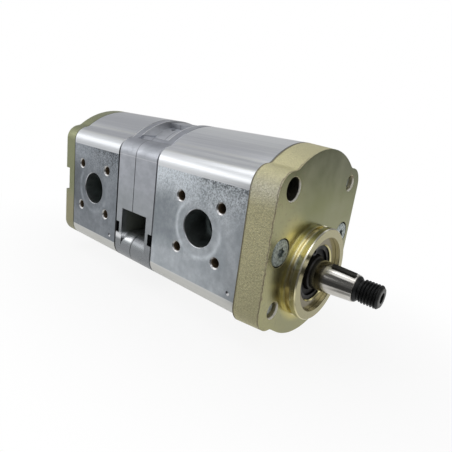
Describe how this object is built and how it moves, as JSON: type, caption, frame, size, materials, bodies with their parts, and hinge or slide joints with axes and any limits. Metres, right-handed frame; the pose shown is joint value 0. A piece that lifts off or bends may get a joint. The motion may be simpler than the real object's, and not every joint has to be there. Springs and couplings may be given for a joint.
{
  "type": "hydraulic gear pump",
  "caption": "Tandem external gear pump with a keyed taper shaft, a pilot spigot, square flanged ports in the sides and a slotted coupling chamber between the stages.",
  "frame": {"origin": "where the axis of the drive shaft crosses the mounting face of the front cover", "axes": "+Y from the mounting face along the shaft to the rear cover, +Z from the drive gears to the driven gears, -X out of the suction ports"},
  "size_m": [0.085, 0.2224, 0.1008],
  "materials": {
    "cast_cover": "machined and sand-cast",
    "extruded_body": "satin extrusion",
    "die_cast": "die cast",
    "bearing_alloy": "machined",
    "bush_lining": "plain bearing lining",
    "seal_rubber": "matte",
    "spring_steel": "phosphated",
    "screw_steel": "zinc plated",
    "gear_steel": "ground",
    "key_steel": "plain",
    "coupling_steel": "hardened"
  },
  "bodies": {
    "housing": {"front_cover": "cast_cover", "front_body": "extruded_body", "intermediate_front": "die_cast", "intermediate_rear": "die_cast", "rear_body": "extruded_body", "rear_cover": "cast_cover", "shaft_seal": "seal_rubber", "front_stage_seal": "seal_rubber", "rear_stage_seal": "seal_rubber", "seal_retaining_ring": "spring_steel", "front_star_screws": "screw_steel", "rear_cover_screws": "screw_steel", "through_screws": "screw_steel", "dowels": "gear_steel", "front_block_front": "bearing_alloy", "front_block_front_drive_bush": "bush_lining", "front_block_front_driven_bush": "bush_lining", "front_block_front_axial_seal": "seal_rubber", "front_block_rear": "bearing_alloy", "front_block_rear_drive_bush": "bush_lining", "front_block_rear_driven_bush": "bush_lining", "front_block_rear_axial_seal": "seal_rubber", "rear_block_front": "bearing_alloy", "rear_block_front_drive_bush": "bush_lining", "rear_block_front_driven_bush": "bush_lining", "rear_block_front_axial_seal": "seal_rubber", "rear_block_rear": "bearing_alloy", "rear_block_rear_drive_bush": "bush_lining", "rear_block_rear_driven_bush": "bush_lining", "rear_block_rear_axial_seal": "seal_rubber", "front_body_seal_front": "seal_rubber", "front_body_seal_rear": "seal_rubber", "rear_body_seal_front": "seal_rubber", "rear_body_seal_rear": "seal_rubber"},
    "drive_train": {"front_drive_gear": "gear_steel", "woodruff_key": "key_steel", "coupling_disc": "coupling_steel", "rear_drive_gear": "gear_steel"},
    "front_driven": {"front_driven_gear": "gear_steel"},
    "rear_driven": {"rear_driven_gear": "gear_steel"}
  },
  "joints": [
    {"name": "drive_spin", "type": "hinge", "parent": "housing", "child": "drive_train", "pos_m": [0, 0.0478, 0], "axis": [0, 1, 0], "continuous": true},
    {"name": "front_driven_spin", "type": "hinge", "parent": "housing", "child": "front_driven", "pos_m": [0, 0.04775, 0.031], "axis": [0, 1, 0], "continuous": true},
    {"name": "rear_driven_spin", "type": "hinge", "parent": "housing", "child": "rear_driven", "pos_m": [0, 0.141, 0.031], "axis": [0, 1, 0], "continuous": true}
  ],
  "couplings": [
    {"joint": "front_driven_spin", "follows": "drive_spin", "ratio": -1},
    {"joint": "rear_driven_spin", "follows": "drive_spin", "ratio": -1}
  ]
}
